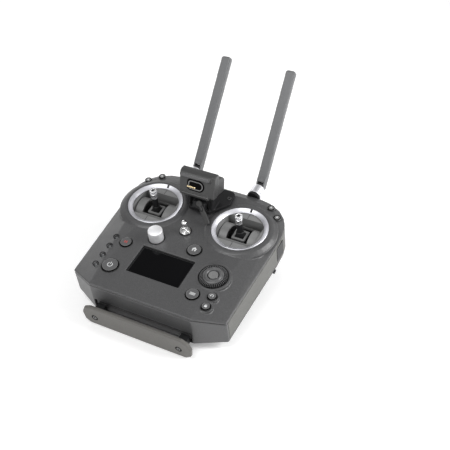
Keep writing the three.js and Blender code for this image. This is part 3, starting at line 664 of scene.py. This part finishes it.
# Panel buttons: a fine light rim in a near-black ring of painted gap shade. Corner buttons: a pale domed
# cap in the same painted shade ring, with a white triangle of painted highlight.
BUTTON_RADII = {
    "power_button": 9.3,
    "pause_button": 6.9,
    "home_button": 8.1,
    "menu_button": 7.4,
    "back_button": 4.8,
    "lock_button": 4.8,
}
CORNER_BUTTONS = ("left_outer_button", "left_inner_button", "right_inner_button", "right_outer_button")
for name, r in BUTTON_RADII.items():
    c = top_centre(name)
    rim = turned(
        [(r - 1.2, c.z - 0.5), (r - 0.9, c.z + 0.1), (r - 0.6, c.z), (r - 0.6, c.z - 0.5),
         (r - 1.2, c.z - 0.5)],
        64, (c.x, c.y),
    )
    piece(name + "_rim", rim, name, CAP)
    # Painted shade: a near-black ring over the gap round the button stands for the shadow in that gap.
    gap_shade_ring = turned(
        [(r - 0.65, c.z - 0.9), (r - 0.65, c.z - 0.1), (r + 0.1, c.z - 0.45), (r + 0.1, c.z - 1.5),
         (r - 0.65, c.z - 0.9)],
        64, (c.x, c.y),
    )
    piece(name + "_gap_shade_ring", gap_shade_ring, name, BLACK_AND_GAP_SHADE)
for name in CORNER_BUTTONS:
    c = top_centre(name)
    dome = turned(
        [(2.9, c.z - 0.6), (2.9, c.z - 0.1), (2.3, c.z + 0.15), (1.2, c.z + 0.3), (0.2, c.z + 0.35)], 40,
        (c.x, c.y),
    )
    piece(name + "_cap", dome, name, CAP)
    # Painted shade: a near-black ring over the groove round the cap stands for the shadow in it.
    gap_shade_ring = turned(
        [(3.0, c.z - 0.7), (3.95, c.z - 0.7), (3.95, c.z + 0.02), (3.0, c.z + 0.02), (3.0, c.z - 0.7)],
        48, (c.x, c.y),
    )
    piece(name + "_gap_shade_ring", gap_shade_ring, name, BLACK_AND_GAP_SHADE)
    # Painted highlight: a small white triangle on the dome stands for a glint of light on it.
    glint = slab(arc(c.x, c.y - 0.2, 1.5, 90, 330, 2), c.z + 0.2, c.z + 0.45)
    piece(name + "_glint", glint, name, WHITE_INK_AND_HIGHLIGHT)

# Status lights: each window sits in a flat black ring of painted dimple shade and carries a white bar of
# painted highlight --
LIGHT_COUNT, LIGHT_MARGIN = 4, 3
low, high = span("status_light_pipe")
LIGHT_X = (low.x + high.x) / 2
LIGHT_PITCH = (high.y - low.y - 2 * LIGHT_MARGIN) / (LIGHT_COUNT - 1)
for i in range(LIGHT_COUNT):
    y = low.y + LIGHT_MARGIN + i * LIGHT_PITCH
    # Painted shade: a flat black ring stands for the shadow in the dimple round the window.
    dimple_shade_ring = turned([(2.3, -0.2), (3.5, -0.2), (3.5, 0.05), (2.9, 0.05), (2.3, -0.2)], 40, (LIGHT_X, y))
    piece(f"light_dimple_shade_ring_{i + 1}", dimple_shade_ring, "housing", BLACK_PLASTIC_AND_SHADE)
    # Painted highlight: a small white bar on each window stands for the glint on its lens.
    glint = bar(LIGHT_X + 0.2, y + 0.2, 2.4, 1.0, math.pi / 2, high.z - 0.1, high.z + 0.08)
    piece(f"light_glint_{i + 1}", glint, "housing", WHITE_INK_AND_HIGHLIGHT)

# Screen: black glass with a rounded bezel round it ------------------------------------------------
SCREEN_BORDER = 3.4
low, high = span("screen")
x0, x1 = low.x + SCREEN_BORDER, high.x - SCREEN_BORDER
y0, y1 = low.y + SCREEN_BORDER, high.y - SCREEN_BORDER
glass = slab(rounded_rectangle(x0, x1, y0, y1, 1.6), high.z - 0.1, high.z + 0.7)
piece("screen_cover_glass", glass, "housing", GLASS, bevel=0.25)
bezel = band(
    rounded_rectangle(x0 + 0.05, x1 - 0.05, y0 + 0.05, y1 - 0.05, 1.6),
    rounded_rectangle(x0 + 1.3, x1 - 1.3, y0 + 1.3, y1 - 1.3, 0.9),
    high.z + 0.6, high.z + 1.0,
)
piece("screen_bezel", bezel, "housing", BLACK_PLASTIC_AND_SHADE, bevel=0.15)

# Bracket details ----------------------------------------------------------------------------------
HEAD_FRAME = placed(0, 4.6, 29.3, ("X", 69.5))
SOCKET = {"x0": -12, "x1": 2.5, "y": 11.3, "r": 6.6}
BROW_X, BROW_Y = -2, 22
BRACKET_SCREW_X, BRACKET_SCREW_Y = 25, 34
PIN_START, PIN_PITCH, PIN_COUNT, PIN_ROW = -10.8, 2.15, 5, 8.7


def socket_outline(inset):
    """The contact socket's outline: round at its right end, with rounded corners at its left end."""
    r = SOCKET["r"] - inset
    y = SOCKET["y"]
    left = SOCKET["x0"] + inset
    corner = 0.6 * r
    return (
        arc(SOCKET["x1"], y, r, -90, 90, 24)
        + arc(left + corner, y + r - corner, corner, 90, 180, 6)
        + arc(left + corner, y - r + corner, corner, 180, 270, 6)
    )


# Painted shade: a near-black floor fills the contact socket where its recess lies in shadow.
socket_shade = slab(socket_outline(-0.3), -2.9, 0.15)
piece("socket_floor_shade", socket_shade, "mount_head", BLACK_AND_GAP_SHADE, matrix=HEAD_FRAME)
rim = band(socket_outline(1.4), socket_outline(2.6), 0, 0.8)
piece("socket_rim", rim, "mount_head", CAP, matrix=HEAD_FRAME, bevel=0.25)
# Painted highlight: a lighter grey bar along the brow stands for the light it catches.
brow_highlight = bar(BROW_X, BROW_Y, 36, 3.4, 0, 2.5, 3.3)
piece("brow_highlight_bar", brow_highlight, "mount_head", BUTTON_GREY_AND_HIGHLIGHT, matrix=HEAD_FRAME, bevel=0.6)
pins = [
    turned([(1.05, -0.2), (1.05, 0.9), (0.5, 1.4)], 24, (PIN_START + i * PIN_PITCH, PIN_ROW))
    for i in range(PIN_COUNT)
]
made = piece("contact_pins", merged(*pins), "mount_head", GOLD, matrix=HEAD_FRAME)
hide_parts("contact_block")
for side, sign in SIDES:
    screw = turned(
        [(1.3, 6.3), (1.3, 6.75), (2.3, 6.75), (2.5, 6.95), (2.3, 7.2), (1.3, 7.2), (1.3, 6.6),
         (0.2, 6.6)],
        32, (sign * BRACKET_SCREW_X, BRACKET_SCREW_Y),
    )
    piece(f"bracket_screw_{side}", screw, "housing", TRAY)
LEVER_FRAME = placed(3, 4, 18, ("X", 45), ("Z", -49))
LEVER_MIDDLE = 4.6
# Painted shade: a flat black bar stands for the shadow in the lever's slot, round the rib.
slot = bar(LEVER_MIDDLE, 0, 11, 4.3, 0, 1.0, 1.3)
piece("lever_slot_shade", slot, "lock_lever", BLACK_PLASTIC_AND_SHADE, matrix=LEVER_FRAME)
rib = bar(LEVER_MIDDLE, 0, 8.6, 1.9, 0, 1.2, 2.0)
piece("lever_rib", rib, "lock_lever", HEAD, matrix=LEVER_FRAME, bevel=0.3)

# Front plate screws: a pale washer in a flat near-black ring of painted recess shade
# ----------------------
for side, _ in SIDES:
    low, high = span(f"plate_screw_{side}")
    cx, cz = (low.x + high.x) / 2, (low.z + high.z) / 2
    frame_here = placed(cx, low.y, cz, ("X", 90))
    # Painted shade: a flat near-black ring round each screw stands for the shadow in its recess.
    well_shade = turned([(2.3, -0.3), (2.3, 0.1), (4, 0.1), (4, -0.3), (2.3, -0.3)], 48)
    piece(f"screw_well_shade_{side}", well_shade, "housing", BLACK_AND_GAP_SHADE, matrix=frame_here)
    washer = turned([(1.2, -0.3), (1.2, 0.25), (1.9, 0.35), (2.3, 0.2), (2.3, -0.3), (1.2, -0.3)], 40)
    piece(f"screw_washer_{side}", washer, "housing", CAP, matrix=frame_here)

# Antennas: a black socket behind each collar, and the parting line along each blade ---------------
ANTENNA_X, ANTENNA_Y, ANTENNA_Z = 42.5, 81, -8.5
ANTENNA_SPLAY, ANTENNA_RAISE = -1.8, 42
SOCKET_BORE, SOCKET_BACK = 2, 0.0187
BLADE_SIDES = (-5.45, 5.35)
for side, sign in SIDES:
    hinge = (sign * ANTENNA_X, ANTENNA_Y, ANTENNA_Z)
    socket = turned(
        [(SOCKET_BORE, 0), (7.2, 0), (7.9, 0.6), (7.9, 2.9), (7.2, 3.6), (SOCKET_BORE, 3.6)], 56,
    )
    behind = placed(*hinge, ("Y", ANTENNA_SPLAY), ("X", 90)) @ Matrix.Translation((0, 0, SOCKET_BACK))
    piece(f"antenna_socket_{side}", socket, "housing", BLACK_PLASTIC_AND_SHADE, matrix=behind)
    blade_frame = placed(*hinge, ("Y", ANTENNA_SPLAY), ("X", ANTENNA_RAISE))
    block = slab(rounded_rectangle(-3.5, 3.5, 4.8, 9.7, 0.2), -4.25, 4.25)
    piece(f"fork_block_{side}", block, f"antenna_blade_{side}", BLADE,
          matrix=blade_frame)
    lines = [slab(rounded_rectangle(x, x + 0.1, 11, 138, 0.04), 2.7, 3.3) for x in BLADE_SIDES]
    piece(f"blade_line_{side}", merged(*lines), f"antenna_blade_{side}", BLACK_PLASTIC_AND_SHADE,
          matrix=blade_frame)

# Battery: a charge button and four charge lights on its outer end ---------------------------------
BATTERY_END = placed(0, 56, 0, ("X", -90))
CHARGE_ROW, CHARGE_BUTTON_X, CHARGE_LIGHT_START, CHARGE_LIGHT_PITCH = 44, -13, -5, 5


def flat_ring(r0, r1, segments, centre):
    """A thin ring that stands just proud of a surface."""
    return turned([(r0, -0.2), (r1, -0.2), (r1, 0.08), (r0, 0.08), (r0, -0.2)], segments, centre)


ring = flat_ring(2.8, 3.3, 40, (CHARGE_BUTTON_X, CHARGE_ROW))
piece("charge_button_ring", ring, "battery_pack", GOLD, matrix=BATTERY_END)
dots = [
    flat_ring(0.9, 1.3, 24, (CHARGE_LIGHT_START + i * CHARGE_LIGHT_PITCH, CHARGE_ROW)) for i in range(4)
]
piece("charge_lights", merged(*dots), "battery_pack", GOLD, matrix=BATTERY_END)

# Floor, light and background ----------------------------------------------------------------------
FLOOR_SIZE, FLOOR_GLOW, ROOM_GLOW = 12, 0.26, 0.36
# Each light's name, place, target, size (metres) and power (watts).
SOFTBOXES = (
    ("overhead", (-0.35, -0.85, 1.55), (0, 0, 0.05), (0.9, 0.9), 14),
    ("left_rear", (-1.5, 1.15, 0.7), (0, 0, 0.05), (1.2, 0.7), 6),
    ("right_rear", (0.35, 1.5, 1.1), (0.05, 0, 0.05), (0.7, 0.6), 2.5),
    ("right", (0.85, 0.15, 0.6), (0.09, -0.05, 0.05), (0.5, 0.5), 8),
    ("front", (0.5, -1.6, 0.45), (0, 0, 0.05), (1.2, 0.6), 5),
)

floor_nodes = Nodes("floor_white")
floor_nodes.shader.inputs["Base Color"].default_value = (0.9, 0.9, 0.9, 1)
floor_nodes.shader.inputs["Roughness"].default_value = 0.7
floor_nodes.shader.inputs["Emission Color"].default_value = (1, 1, 1, 1)
floor_nodes.shader.inputs["Emission Strength"].default_value = FLOOR_GLOW
bpy.ops.mesh.primitive_plane_add(size=FLOOR_SIZE)
floor = bpy.context.object
floor.name = "floor"
floor.data.materials.append(floor_nodes.material)

world = bpy.data.worlds.new("studio")
bpy.context.scene.world = world
world.use_nodes = True
world.node_tree.nodes["Background"].inputs["Color"].default_value = (1, 1, 1, 1)
world.node_tree.nodes["Background"].inputs["Strength"].default_value = ROOM_GLOW


def softbox(name, place, target, size, power):
    """A rectangular studio light that points at the target."""
    data = bpy.data.lights.new(name, "AREA")
    data.shape = "RECTANGLE"
    data.size, data.size_y = size
    data.energy = power
    lamp = bpy.data.objects.new(name, data)
    lamp.location = place
    lamp.rotation_euler = (Vector(target) - Vector(place)).to_track_quat("-Z", "Y").to_euler()
    bpy.context.collection.objects.link(lamp)


for light in SOFTBOXES:
    softbox(*light)
bpy.context.scene.view_settings.view_transform = "Standard"
